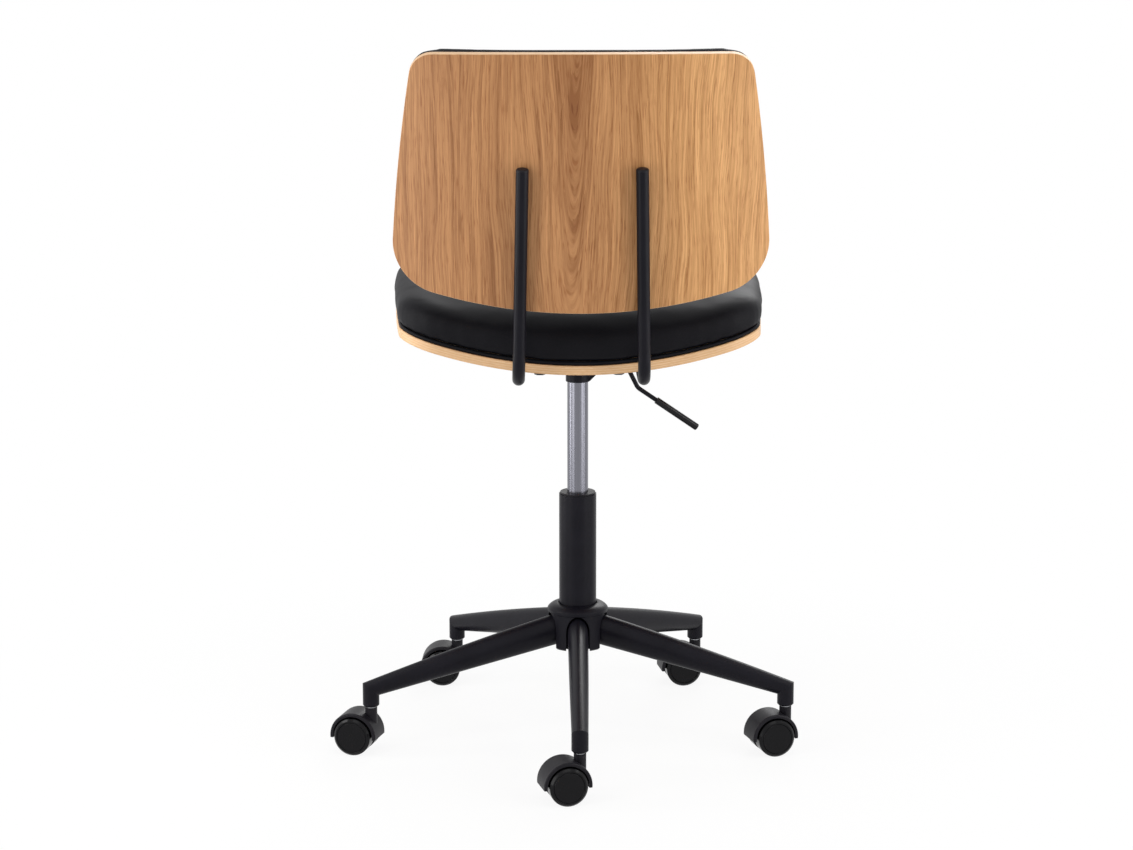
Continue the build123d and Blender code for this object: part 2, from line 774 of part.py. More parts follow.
def seat_plate():
    """The plate under the tubes: bolt holes, a hole for the lift, the lever's ears and slot."""
    width = plate_width
    length = plate_rear_y - plate_front_y
    sheet = Pos(0, (plate_rear_y + plate_front_y) / 2) * RectangleRounded(width, length, plate_corner)
    plate = Pos(0, 0, plate_bottom_z) * extrude(sheet, amount=plate_thickness)
    plate = plate + pivot_ear(-1) + pivot_ear(1)
    plate = plate - upright(lift_diameter, 0, seat_underside_z)
    slot = Pos(slot_x - lever_diameter / 4, 0) * SlotOverall(slot_length, slot_width)
    plate = plate - Pos(0, 0, plate_bottom_z - plate_thickness) * extrude(slot, amount=2 * plate_thickness)
    for x, y in plate_bolt_sites:
        plate = plate - upright(plate_bolt_diameter + 2 * assembly_gap, 0, plate_top_z, x, y)
    return plate - pivot_rod(pivot_pin_diameter + 2 * running_clearance, pivot_pin_length)


def seat_socket():
    """The taper socket under the plate, with a gusset on the lever's side."""
    high = plate_bottom_z
    low = seat_socket_bottom_z
    outer = seat_socket_diameter / 2
    rib_low = low + gusset_lift
    corners = [(0, high), (0, rib_low), (-outer, rib_low), (-outer - gusset_reach, high)]
    side_view = Plane.XZ * make_face(Polyline(*corners, close=True))
    rib = extrude(side_view, amount=gusset_width / 2, both=True)
    shape = upright(seat_socket_diameter, low, high) + rib
    bore_low = lift_diameter / 2 + assembly_gap
    slope = taper_reduction / 2 / (lift_top_z - seat_socket_bottom_z)
    bore_high = bore_low - slope * (high - low)
    return shape - turned([(0, low), (bore_low, low), (bore_high, high), (0, high)])


def plate_bolts():
    bolts = []
    for x, y in plate_bolt_sites:
        high = seat_level(x, plywood_thickness - tee_nut_sink)
        head_low = plate_bottom_z - plate_bolt_head_height
        hexagon = RegularPolygon(plate_bolt_head_width / 2, 6, major_radius=False)
        head = Pos(x, y, head_low) * extrude(hexagon, amount=plate_bolt_head_height)
        bolts.append(head + upright(plate_bolt_diameter, plate_bottom_z, high, x, y))
    return Compound(bolts)


def plate_spacers():
    """Sleeves that fill the tubes' height between the plate and the shell."""
    below_shell = bend_cylinder(seat_bend_radius, -assembly_gap)
    spacers = []
    for x, y in plate_bolt_sites:
        sleeve = upright(spacer_diameter, plate_top_z, seat_underside_z + plywood_thickness, x, y)
        sleeve = sleeve - upright(plate_bolt_diameter + 2 * assembly_gap, 0, seat_axis_z, x, y)
        spacers.append(sleeve - seat_plane * below_shell)
    return Compound(spacers)


def tee_nut(x, y, growth):
    """A tee nut's outside, grown all round by an amount."""
    flange_low = seat_level(x, plywood_thickness) - tee_nut_sink
    low = seat_level(x, 0) + tee_nut_sink
    flange_high = flange_low + tee_nut_flange
    barrel = upright(tee_nut_barrel_diameter + 2 * growth, low - growth, flange_low, x, y)
    flange_diameter = tee_nut_flange_diameter + 2 * growth
    return barrel + upright(flange_diameter, flange_low - growth, flange_high + growth, x, y)


def tee_nuts():
    thread = plate_bolt_diameter + 2 * assembly_gap
    nuts = []
    for x, y in plate_bolt_sites:
        nuts.append(tee_nut(x, y, 0) - upright(thread, 0, seat_axis_z, x, y))
    return Compound(nuts)


def seat_shell():
    panel = seat_plane * shell(seat_outline(), seat_bend_radius)
    for x, y in plate_bolt_sites:
        panel = panel - upright(plate_bolt_diameter + 2 * assembly_gap, 0, seat_axis_z, x, y)
        panel = panel - tee_nut(x, y, assembly_gap)
        flange_low = seat_level(x, plywood_thickness) - tee_nut_sink
        sink = tee_nut_flange_diameter + 2 * assembly_gap
        panel = panel - upright(sink, flange_low, seat_axis_z, x, y)
    return panel


# Height lever


def lever_path():
    inner = (lever_inner_x, 0, lever_z)
    elbow = (lever_elbow_x, 0, lever_z)
    knee = (lever_knee_x, 0, lever_knee_z)
    end = (lever_end_x, 0, lever_end_z)
    return FilletPolyline(inner, elbow, knee, end, radius=[lever_elbow_radius, lever_knee_radius])


def lever_rod():
    """A bent rod with a cross sleeve on the pivot pin."""
    path = lever_path()
    rod = sweep(Plane(origin=path @ 0, z_dir=path % 0) * Circle(lever_diameter / 2), path=path)
    rod = rod + pivot_rod(pivot_sleeve_diameter, pivot_sleeve_length)
    return rod - pivot_rod(pivot_pin_diameter + 2 * running_clearance, pivot_sleeve_length)


def lever_grip():
    """A plastic sleeve with a round end over the lever's outer run."""
    run_x = lever_end_x - lever_knee_x
    run_z = lever_end_z - lever_knee_z
    heading = Vector(run_x, 0, run_z)
    share = (grip_start_x - lever_knee_x) / run_x
    start = Vector(grip_start_x, 0, lever_knee_z + share * run_z)
    length = heading.length * (1 - share)
    sleeve = extrude(Circle(grip_diameter / 2), amount=length + grip_cap)
    ends = sleeve.edges().filter_by(GeomType.CIRCLE).sort_by(Axis.Z)
    sleeve = fillet(ends[-1], grip_round)
    sleeve = sleeve - extrude(Circle(lever_diameter / 2 + assembly_gap), amount=length + assembly_gap)
    return Plane(origin=start, z_dir=heading) * sleeve


def main():
    os.makedirs("parts", exist_ok=True)

    save("base_hub", hub())
    one_leg = leg()
    stems = []
    for number, (angle, heading) in enumerate(zip(leg_angles, caster_headings), start=1):
        save(f"base_leg_{number}", Rot(0, 0, angle) * one_leg)
        place = Rot(0, 0, angle) * Pos(stem_circle_radius, 0, 0)
        stems.append(place * caster_stem())
        turn = place * Rot(0, 0, heading - angle)
        save(f"caster_hood_{number}", turn * caster_hood())
        save(f"caster_axle_{number}", turn * axle())
        save(f"caster_wheel_{number}_outer", turn * wheel())
        save(f"caster_wheel_{number}_inner", turn * mirror(wheel(), about=Plane.XZ))
    save("caster_stems", Compound(stems))

    save("column_tube", column())
    save("guide_bush", guide_bush())
    neck_hole = rod_neck_diameter + 2 * moving_gap
    neck_fit = rod_neck_diameter + 2 * assembly_gap
    upper_washer_z = rod_shoulder_z - washer_thickness
    save("bearing_washer_lower", ring(washer_diameter, neck_hole, bearing_z, ball_z))
    save("bearing_balls", bearing_balls())
    save("bearing_washer_upper", ring(washer_diameter, neck_fit, upper_washer_z, rod_shoulder_z))
    clip_top = column_plate_z - moving_gap
    save("rod_clip", ring(clip_diameter, neck_fit, clip_top - clip_thickness, clip_top))
    save("piston_rod", piston_rod())
    save("piston", piston())
    bumper_hole = rod_diameter + 2 * assembly_gap
    bumper_top = rod_shoulder_z + bumper_height
    save("lift_bumper", ring(bumper_diameter, bumper_hole, rod_shoulder_z, bumper_top))
    save("gas_cylinder", gas_cylinder())
    save("release_pin", release_pin())

    save("seat_plate", seat_plate())
    save("seat_socket", seat_socket())
    save("plate_bolts", plate_bolts())
    save("plate_spacers", plate_spacers())
    save("tee_nuts", tee_nuts())
    save("lever_pivot_pin", pivot_rod(pivot_pin_diameter, pivot_pin_length))
    save("lever_rod", lever_rod())
    save("lever_grip", lever_grip())

    save("back_tube_left", back_tube(1))
    save("back_tube_right", back_tube(-1))
    save("tube_plugs", tube_plugs())
    save("tube_inserts", Compound([insert(side, up) for side, up in bolt_sites]))
    save("back_bolts", Compound([back_bolt(side, up) for side, up in bolt_sites]))

    save("seat_shell", seat_shell())
    save("seat_board", seat_plane * board(seat_outline, seat_bend_radius))
    save("seat_welt", seat_plane * welt(seat_outline, seat_bend_radius))
    seat_pad = pad(
        seat_outline(seat_pad_inset),
        seat_bend_radius,
        seat_pad_height,
        seat_pad_side_fall,
        seat_pad_end_fall,
        seat_pad_flat,
        seat_pad_hem,
    )
    save("seat_cushion", seat_plane * seat_pad)

    save("back_shell", back_shell())
    save("back_board", back_plane * board(back_outline, back_bend_radius))
    save("back_welt", back_plane * welt(back_outline, back_bend_radius))
    back_pad = pad(
        back_outline(back_pad_inset),
        back_bend_radius,
        back_pad_height,
        back_pad_side_fall,
        back_pad_end_fall,
        back_pad_flat,
        back_pad_hem,
    )
    save("back_pad", back_plane * back_pad)


main()
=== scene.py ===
import bmesh
import bpy
import json
import numpy as np
from math import atan2, cos, radians, sin, sqrt
from mathutils import Euler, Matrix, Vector


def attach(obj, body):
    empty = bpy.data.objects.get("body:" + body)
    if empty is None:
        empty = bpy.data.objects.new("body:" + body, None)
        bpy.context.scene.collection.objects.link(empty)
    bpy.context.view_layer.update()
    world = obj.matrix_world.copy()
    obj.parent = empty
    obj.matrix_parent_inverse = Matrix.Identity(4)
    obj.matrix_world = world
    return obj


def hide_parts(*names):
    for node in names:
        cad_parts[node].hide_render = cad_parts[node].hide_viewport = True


# Swivel office chair seen from behind: oak plywood seat and back, black pads, black steel base.
# Metres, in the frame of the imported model: +Z up, the chair faces -Y, the camera stands at +Y.

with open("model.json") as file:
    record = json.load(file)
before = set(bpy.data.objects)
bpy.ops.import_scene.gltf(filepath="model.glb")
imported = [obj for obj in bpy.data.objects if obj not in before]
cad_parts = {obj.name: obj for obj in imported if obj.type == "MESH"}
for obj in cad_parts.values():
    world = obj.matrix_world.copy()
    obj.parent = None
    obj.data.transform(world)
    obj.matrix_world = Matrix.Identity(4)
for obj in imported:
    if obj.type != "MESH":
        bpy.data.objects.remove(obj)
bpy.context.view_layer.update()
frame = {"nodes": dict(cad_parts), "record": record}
nodes = frame["nodes"]
scene = bpy.context.scene

# The two bent plywood panels: where the middle of the outer face lies, how many degrees the panel
# is turned about X, and the radius in millimetres that it is bent to. In a panel's own millimetres
# x runs across, y along the grain and z in through the thickness.
seat_panel = {"origin": (0.0, 0.0, 0.535), "turn": 0.0, "bend": 720.0}
back_panel = {"origin": (0.0, 0.250, 0.6208), "turn": 81.0, "bend": 600.0}
plywood_mm = 12.0

# The foot of a pad and the piping round it
pad_base_mm = 17.2              # depth of a pad's foot under the panel's outer face
welt_depth_mm = 14.6            # depth of the line that the piping follows
welt_tolerance_mm = 0.8         # a welt's points count as on that line when they are this near
cord_mm = 4.8                   # thickness of the piping
piping_steps = 300

# The covers of the pads, as cloth over foam
cover_mesh_size = 0.005
merge_distance = 0.00002        # points of a node this near are one point
cover_mass = 0.3
cover_stiffness = 15.0
cover_bending = 0.5
foam_pressure = 1.0
foam_frames = 20                # how long the foam swells
held_mm = 3.0                   # a cover is held up to this height above its foot
free_from_mm = 1.0              # and its freedom grows from here
free_over_mm = 12.0             # over this height
softening_rounds = 14
evening_rounds = 16


def panel_turn(panel):
    """The turn of a panel in the model."""
    return Euler((radians(panel["turn"]), 0.0, 0.0)).to_matrix()


def panel_spot(panel, point):
    """A point in a panel's own millimetres: across, along the grain, and depth under the outer face."""
    local = panel_turn(panel).transposed() @ (point - Vector(panel["origin"])) * 1000
    span = Vector((local.x, panel["bend"] - local.z)).length
    return local.x, local.y, panel["bend"] - span


def panel_point(panel, across, along, depth):
    """The place of a panel's millimetres in the model."""
    height = panel["bend"] - sqrt((panel["bend"] - depth) ** 2 - across ** 2)
    return panel_turn(panel) @ Vector((across, along, height)) / 1000 + Vector(panel["origin"])


# Materials

soft_step = {"interpolation_type": "SMOOTHSTEP"}
multiply_add = {"operation": "MULTIPLY_ADD"}
colours = {"data_type": "RGBA"}


def linear(hex_colour):
    """An sRGB hex value as the linear colour that a shader takes."""
    shades = [int(hex_colour[i:i + 2], 16) / 255 for i in (1, 3, 5)]
    return [s / 12.92 if s <= 0.04045 else ((s + 0.055) / 1.055) ** 2.4 for s in shades] + [1.0]


def add(tree, kind, traits, feeds):
    """Adds a node with its traits. A feed is a value, a socket, or a node for its first live output."""
    node = tree.nodes.new("ShaderNode" + kind)
    for name, value in traits.items():
        setattr(node, name, value)
    for name, value in feeds.items():
        if isinstance(value, bpy.types.Node):
            value = next(socket for socket in value.outputs if socket.enabled)
        if isinstance(value, bpy.types.NodeSocket):
            tree.links.new(value, node.inputs[name])
        else:
            node.inputs[name].default_value = value
    return node


def new_material(name, origin=(0.0, 0.0, 0.0), turn=0.0):
    """An empty material, and places on the piece in millimetres from an origin, turned about X."""
    material = bpy.data.materials.new(name)
    material.use_nodes = True
    tree = material.node_tree
    tree.nodes.clear()
    spot = add(tree, "TexCoord", {}, {})
    place = add(tree, "Mapping", {"vector_type": "TEXTURE"}, {
        "Vector": spot.outputs["Object"],
        "Location": origin,
        "Rotation": (radians(turn), 0.0, 0.0),
        "Scale": (0.001, 0.001, 0.001),
    })
    return material, tree, place


def oak_leaf(tree, place, leaf_shift):
    """Colour and fibres of a leaf of crown-cut oak, with its heart shifted across by millimetres."""
    axes = add(tree, "SeparateXYZ", {}, {"Vector": place})
    across = axes.outputs["X"]
    along = axes.outputs["Y"]

    # The trunk wandered, so the rings drift some millimetres over a hand's length
    slow = add(tree, "Mapping", {}, {"Vector": place, "Scale": (1 / 60, 1 / 230, 0)})
    drift = add(tree, "TexNoise", {}, {"Vector": slow, "Scale": 1.0, "Detail": 1.0})
    sway = add(tree, "MapRange", {}, {"Value": drift, "To Min": leaf_shift - 13, "To Max": leaf_shift + 13})
    from_heart = add(tree, "Math", {"operation": "ADD"}, {0: across, 1: sway})
    # The knife ran further from the heart at the foot of the leaf, so the arches close there
    cut_depth = add(
        tree, "MapRange", {"clamp": False},
        {"Value": along, "From Min": 0.0, "From Max": 330.0, "To Min": 27.0, "To Max": 8.0},
    )
    to_heart = add(tree, "CombineXYZ", {}, {"X": from_heart, "Y": cut_depth})
    radius = add(tree, "VectorMath", {"operation": "LENGTH"}, {0: to_heart})
    # The fibres follow the rings, so the finer patterns are laid out by ring and length
    leaf = add(tree, "CombineXYZ", {}, {"X": radius, "Y": along, "Z": from_heart})

    # Years about 11.5 mm wide, with ragged borders
    lean = add(tree, "TexNoise", {"noise_dimensions": "1D"}, {"W": radius, "Scale": 1 / 25, "Detail": 1.0})
    count = add(tree, "Math", multiply_add, {0: radius, 1: 1 / 11.5, 2: lean})
    fray_place = add(tree, "Mapping", {}, {"Vector": leaf, "Scale": (1 / 2.2, 1 / 70, 1 / 45)})
    fray = add(tree, "TexNoise", {}, {"Vector": fray_place, "Scale": 1.0, "Detail": 4.0})
    frayed = add(tree, "Math", multiply_add, {0: fray, 1: 1.1, 2: count})
    year = add(tree, "Math", {"operation": "FRACT"}, {0: frayed})
    early = add(
        tree, "MapRange", soft_step,
        {"Value": year, "From Min": 0.0, "From Max": 0.45, "To Min": 1.0, "To Max": 0.0},
    )

    # Streaks 1.5 to 3 mm wide along the fibres, bands of 16 mm, and a darker start to each year
    fibre_place = add(tree, "Mapping", {}, {"Vector": leaf, "Scale": (1 / 1.8, 1 / 135, 1 / 45)})
    fibre = add(
        tree, "TexNoise", {}, {"Vector": fibre_place, "Scale": 1.0, "Detail": 6.0, "Roughness": 0.7},
    )
    band_place = add(tree, "Mapping", {}, {"Vector": leaf, "Scale": (1 / 16, 1 / 420, 1 / 60)})
    band = add(tree, "TexNoise", {}, {"Vector": band_place, "Scale": 1.0, "Detail": 2.0})
    streaked = add(tree, "Math", multiply_add, {0: fibre, 1: 2.1, 2: -0.88})
    banded = add(tree, "Math", multiply_add, {0: band, 1: 0.8, 2: streaked})
    ringed = add(tree, "Math", multiply_add, {0: early, 1: -0.28, 2: banded})
    # Heartwood shows as one darker stripe in the upper half
    beside = add(tree, "Math", {"operation": "ABSOLUTE"}, {0: from_heart})
    stripe = add(
        tree, "MapRange", soft_step,
        {"Value": beside, "From Min": 6.0, "From Max": 27.0, "To Min": 1.0, "To Max": 0.0},
    )
    upper = add(
        tree, "MapRange", soft_step,
        {"Value": along, "From Min": 70.0, "From Max": 190.0, "To Min": 0.0, "To Max": -0.34},
    )
    pale = add(tree, "Math", multiply_add, {0: stripe, 1: upper, 2: ringed})

    # The leaf is browner towards +X and yellower towards -X: partly the veneer's own tone, partly painted
    # shade towards +X and painted light towards -X
    brown_and_painted_shade = add(tree, "Mix", colours, {"Factor": pale, "A": linear("#8B5933"), "B": linear("#CC9664")})
    yellow_and_painted_light = add(tree, "Mix", colours, {"Factor": pale, "A": linear("#A8743F"), "B": linear("#E8B277")})
    tone_and_painted_light = add(tree, "MapRange", soft_step, {"Value": across, "From Min": 30.0, "From Max": -190.0})
    wood = add(tree, "Mix", colours, {"Factor": tone_and_painted_light, "A": brown_and_painted_shade, "B": yellow_and_painted_light})
    # Pores: dark dashes about 25 mm long, drawn three times as wide as real so that they show
    pore_place = add(tree, "Mapping", {}, {"Vector": leaf, "Scale": (1 / 0.9, 1 / 25, 1 / 30)})
    pore = add(tree, "TexNoise", {}, {"Vector": pore_place, "Scale": 1.0, "Detail": 2.0})
    dash = add(
        tree, "MapRange", soft_step,
        {"Value": pore, "From Min": 0.53, "From Max": 0.72, "To Min": 0.0, "To Max": 0.55},
    )
    pored = add(
        tree, "Mix", {"data_type": "RGBA", "blend_type": "MULTIPLY"},
        {"Factor": dash, "A": wood, "B": linear("#B98E68")},
    )
    return pored, fibre


def ply_edge(tree, place, bend):
    """Colour of the plies at a panel's edge, and where the veneer covers them."""
    axes = add(tree, "SeparateXYZ", {}, {"Vector": place})
    # Depth under the outer face, measured towards the axis of the bend
    to_axis = add(tree, "Math", {"operation": "SUBTRACT"}, {0: bend, 1: axes.outputs["Z"]})
    flat = add(tree, "CombineXYZ", {}, {"X": axes.outputs["X"], "Y": to_axis})
    span = add(tree, "VectorMath", {"operation": "LENGTH"}, {0: flat})
    depth = add(tree, "Math", {"operation": "SUBTRACT"}, {0: bend, 1: span})
    # Plies 1.5 mm thick, long grain and end grain in turn, with specks of cut fibre
    ply = add(tree, "Math", {"operation": "PINGPONG"}, {0: depth, 1: 1.5})
    speck_place = add(tree, "Mapping", {}, {"Vector": place, "Scale": (1 / 5, 1 / 5, 1 / 0.6)})
    speck = add(tree, "TexNoise", {}, {"Vector": speck_place, "Scale": 1.0, "Detail": 4.0})
    cut = add(tree, "Math", multiply_add, {0: ply, 1: 0.35, 2: speck})
    plies = add(tree, "Mix", colours, {"Factor": cut, "A": linear("#F0D2AE"), "B": linear("#D9AC7C")})
    # The rounded edges are sanded through the veneer, so they show the pale ply; the veneer is drawn thinner
    # than real there, so the wider pale line is partly a painted highlight
    middle = add(tree, "Math", {"operation": "SUBTRACT"}, {0: depth, 1: plywood_mm / 2})
    away = add(tree, "Math", {"operation": "ABSOLUTE"}, {0: middle})
    veneer = add(
        tree, "MapRange", {},
        {"Value": away, "From Min": plywood_mm / 2 - 0.4, "From Max": plywood_mm / 2 - 0.2},
    )
    return plies, veneer


def oak_plywood(name, panel, leaf_shift):
    """Oak veneer on beech plywood, sanded and lacquered satin.

    The eye sees crown-cut oak: fine straight streaks, broad soft bands where a year begins, a few
    long arches that close towards the foot, short dark pores, and at the edge the pale plies.
    """
    material, tree, place = new_material(name, panel["origin"], panel["turn"])
    oak, fibre = oak_leaf(tree, place, leaf_shift)
    plies, veneer = ply_edge(tree, place, panel["bend"])
    colour = add(tree, "Mix", colours, {"Factor": veneer, "A": plies, "B": oak})
    gloss = add(tree, "MapRange", {}, {"Value": fibre, "To Min": 0.52, "To Max": 0.38})
    relief = add(tree, "Bump", {}, {"Strength": 0.1, "Distance": 0.0003, "Height": fibre})
    lacquer = add(tree, "BsdfPrincipled", {}, {
        "Base Color": colour, "Roughness": gloss, "Normal": relief, "IOR": 1.5, "Specular IOR Level": 0.3,
    })
    add(tree, "OutputMaterial", {}, {"Surface": lacquer})
    return material


def leatherette():
    """Coated fabric with an embossed grain: black, soft-looking, a low broad sheen and tiny pebbles."""
    material, tree, place = new_material("black_leatherette")
    # Pebbles about 1 mm across, drawn at 1.6 mm so that they show
    pebble = add(
        tree, "TexVoronoi", {"feature": "SMOOTH_F1"}, {"Vector": place, "Scale": 1 / 1.6, "Smoothness": 0.6},
    )
    crease = add(tree, "TexNoise", {}, {"Vector": place, "Scale": 1 / 5, "Detail": 4.0})
    grain = add(tree, "Math", multiply_add, {0: crease, 1: 0.7, 2: pebble})
    relief = add(tree, "Bump", {}, {"Strength": 0.14, "Distance": 0.0004, "Height": grain})
    worn = add(tree, "TexNoise", {}, {"Vector": place, "Scale": 1 / 60, "Detail": 3.0})
    gloss = add(tree, "MapRange", {}, {"Value": worn, "To Min": 0.48, "To Max": 0.62})
    shade = add(tree, "Mix", colours, {"Factor": pebble, "A": linear("#08080C"), "B": linear("#100F14")})
    coating = add(tree, "BsdfPrincipled", {}, {
        "Base Color": shade, "Roughness": gloss, "Normal": relief, "IOR": 1.48, "Specular IOR Level": 0.12,
    })
    add(tree, "OutputMaterial", {}, {"Surface": coating})
    return material


def powder_coat():
    """Steel with a baked black powder coat: satin, with the faint orange peel of melted powder."""
    material, tree, place = new_material("black_powder_coat")
    # Orange peel about 0.9 mm across, in a coat that melted a little unevenly
    peel = add(tree, "TexNoise", {}, {"Vector": place, "Scale": 1 / 0.9, "Detail": 3.0, "Roughness": 0.6})
    relief = add(tree, "Bump", {}, {"Strength": 0.08, "Distance": 0.0002, "Height": peel})
    patch = add(tree, "TexNoise", {}, {"Vector": place, "Scale": 1 / 35, "Detail": 3.0})
    gloss = add(tree, "MapRange", {}, {"Value": patch, "To Min": 0.3, "To Max": 0.42})
    shade = add(tree, "Mix", colours, {"Factor": patch, "A": linear("#0E0D13"), "B": linear("#19181F")})
    coat = add(tree, "BsdfPrincipled", {}, {
        "Base Color": shade, "Roughness": gloss, "Normal": relief, "IOR": 1.5, "Specular IOR Level": 0.11,
    })
    add(tree, "OutputMaterial", {}, {"Surface": coat})
    return material


def bare_metal(name, grain, detail, smoothest, roughest, dark, light, metallic):
    """A metal whose colour and shine vary together with a grain of so many millimetres each way."""
    material, tree, place = new_material(name)
    grain_place = add(tree, "Mapping", {}, {"Vector": place, "Scale": [1 / length for length in grain]})
    cloud = add(tree, "TexNoise", {}, {"Vector": grain_place, "Scale": 1.0, "Detail": detail})
    gloss = add(tree, "MapRange", {}, {"Value": cloud, "To Min": smoothest, "To Max": roughest})
    shade = add(tree, "Mix", colours, {"Factor": cloud, "A": linear(dark), "B": linear(light)})
    metal = add(tree, "BsdfPrincipled", {}, {"Base Color": shade, "Roughness": gloss, "Metallic": metallic})
    add(tree, "OutputMaterial", {}, {"Surface": metal})
    return material


def plated_tube():
    """Drawn steel tube with a thin hard plating: a grey satin mirror with faint lines along its length."""
    # Drawing lines 0.2 mm apart, drawn at 1.6 mm so that they show
    return bare_metal("plated_lift_tube", (1.6, 1.6, 300.0), 3.0, 0.22, 0.32, "#6C6C73", "#7E7E86", 1.0)


def zinc_plate():
    """Turned steel with bright zinc: pale grey metal with a slightly cloudy shine."""
    return bare_metal("bright_zinc", (2.5, 2.5, 2.5), 4.0, 0.22, 0.42, "#8F9094", "#B4B5B9", 1.0)


def black_oxide():
    """Bolt steel blackened in a salt bath: nearly black metal with an oily gleam."""
    return bare_metal("black_oxide_bolt", (2.0, 2.0, 2.0), 4.0, 0.32, 0.5, "#1E1E21", "#2E2E32", 0.8)


def machined_aluminium():
    """Aluminium off the lathe: pale metal with a fine uneven shine from the tool."""
    return bare_metal("machined_aluminium", (0.8, 0.8, 0.8), 3.0, 0.25, 0.45, "#ACADB0", "#C4C5C8", 1.0)


def moulded_nylon(name, dark, light, smoothest, roughest, shine):
    """Injection-moulded nylon: black right through, with a fine spark-eroded texture from the mould."""
    material, tree, place = new_material(name)
    # Mould grit of 0.35 mm, drawn at 0.7 mm so that it shows
    grit = add(tree, "TexNoise", {}, {"Vector": place, "Scale": 1 / 0.7, "Detail": 2.0})
    relief = add(tree, "Bump", {}, {"Strength": 0.06, "Distance": 0.0002, "Height": grit})
    flow = add(tree, "TexNoise", {}, {"Vector": place, "Scale": 1 / 14, "Detail": 3.0})
    gloss = add(tree, "MapRange", {}, {"Value": flow, "To Min": smoothest, "To Max": roughest})
    shade = add(tree, "Mix", colours, {"Factor": flow, "A": linear(dark), "B": linear(light)})
    nylon = add(tree, "BsdfPrincipled", {}, {
        "Base Color": shade, "Roughness": gloss, "Normal": relief, "IOR": 1.53, "Specular IOR Level": shine,
    })
    add(tree, "OutputMaterial", {}, {"Surface": nylon})
    return material


def raw_board(name, panel):
    """Rotary-cut birch board, raw: pale and dull, with a loose wavy figure.

    The pad's cover is folded round it, so its edges look black.
    """
    material, tree, place = new_material(name)
    stretch = add(tree, "Mapping", {}, {"Vector": place, "Scale": (1 / 12, 1 / 90, 1 / 12)})
    figure = add(tree, "TexNoise", {}, {"Vector": stretch, "Scale": 1.0, "Detail": 5.0})
    birch = add(tree, "Mix", colours, {"Factor": figure, "A": linear("#B08A60"), "B": linear("#D8B88E")})
    facing = add(tree, "TexCoord", {}, {})
    slope = add(
        tree, "VectorMath", {"operation": "DOT_PRODUCT"},
        {0: facing.outputs["Normal"], 1: panel_turn(panel).col[2]},
    )
    level = add(tree, "Math", {"operation": "ABSOLUTE"}, {0: slope})
    flat = add(tree, "MapRange", {}, {"Value": level, "From Min": 0.7, "From Max": 0.8})
    shade = add(tree, "Mix", colours, {"Factor": flat, "A": linear("#0C0C0F"), "B": birch})
    board = add(
        tree, "BsdfPrincipled", {}, {"Base Color": shade, "Roughness": 0.75, "Specular IOR Level": 0.2},
    )
    add(tree, "OutputMaterial", {}, {"Surface": board})
    return material


def soft_rubber():
    """Moulded rubber: black, dull, with a bloom of grey dust."""
    material, tree, place = new_material("moulded_rubber")
    bloom = add(tree, "TexNoise", {}, {"Vector": place, "Scale": 1 / 3, "Detail": 4.0})
    shade = add(tree, "Mix", colours, {"Factor": bloom, "A": linear("#131314"), "B": linear("#262628")})
    rubber = add(
        tree, "BsdfPrincipled", {}, {"Base Color": shade, "Roughness": 0.8, "Specular IOR Level": 0.25},
    )
    add(tree, "OutputMaterial", {}, {"Surface": rubber})
    return material


def dress_nodes(cover):
    """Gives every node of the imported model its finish, by its slot or by its own name."""
    slot_finishes = {
        "leatherette": cover,
        "black_steel": powder_coat(),
        "lift_chrome": plated_tube(),
        "zinc_steel": zinc_plate(),
        "black_oxide_steel": black_oxide(),
        "piston_aluminium": machined_aluminium(),
        "bumper_rubber": soft_rubber(),
        "black_nylon": moulded_nylon("black_nylon", "#121116", "#1D1B20", 0.36, 0.48, 0.13),
        "wheel_nylon": moulded_nylon("wheel_nylon", "#08080A", "#0F0E11", 0.14, 0.22, 0.14),
    }
    own_finishes = {
        "back_shell": oak_plywood("oak_back_shell", back_panel, -10.0),
        "seat_shell": oak_plywood("oak_seat_shell", seat_panel, 35.0),
        "back_board": raw_board("birch_back_board", back_panel),
        "seat_board": raw_board("birch_seat_board", seat_panel),
        "lever_grip": moulded_nylon("polished_grip_nylon", "#0A090C", "#121115", 0.16, 0.24, 0.2),
    }
    for part in frame["record"]["subparts"]:
        node = part["node"]
        finish = own_finishes[node] if node in own_finishes else slot_finishes[part["material_slot"]]
        for slot in nodes[node].material_slots:
            slot.material = finish


# Pads


def finished_mesh(piece):
    """A new mesh of an object's shape after its modifiers."""
    return bpy.data.meshes.new_from_object(piece.evaluated_get(bpy.context.evaluated_depsgraph_get()))


def smooth_faces(mesh):
    """Shades a mesh as one rounded surface."""
    for face in mesh.polygons:
        face.use_smooth = True


def remeshed_copy(node, name):
    """A new object with an even mesh of a node's shape."""
    piece = bpy.data.objects.new(name, nodes[node].data.copy())
    scene.collection.objects.link(piece)
    mesh = bmesh.new()
    mesh.from_mesh(piece.data)
    bmesh.ops.remove_doubles(mesh, verts=mesh.verts, dist=merge_distance)
    bmesh.ops.recalc_face_normals(mesh, faces=mesh.faces)
    mesh.to_mesh(piece.data)
    mesh.free()
    remesh = piece.modifiers.new("even", "REMESH")
    remesh.mode = "VOXEL"
    remesh.voxel_size = cover_mesh_size
    even = finished_mesh(piece)
    piece.modifiers.clear()
    piece.data = even
    return piece


def evened(values, edges, rounds):
    """Spreads each point's values over its neighbours, so that the cover stays smooth."""
    neighbours = np.bincount(edges.ravel(), minlength=len(values))
    for _ in range(rounds):
        total = np.zeros_like(values)
        np.add.at(total, edges[:, 0], values[edges[:, 1]])
        np.add.at(total, edges[:, 1], values[edges[:, 0]])
        values = (values + total / neighbours[:, None]) / 2
    return values


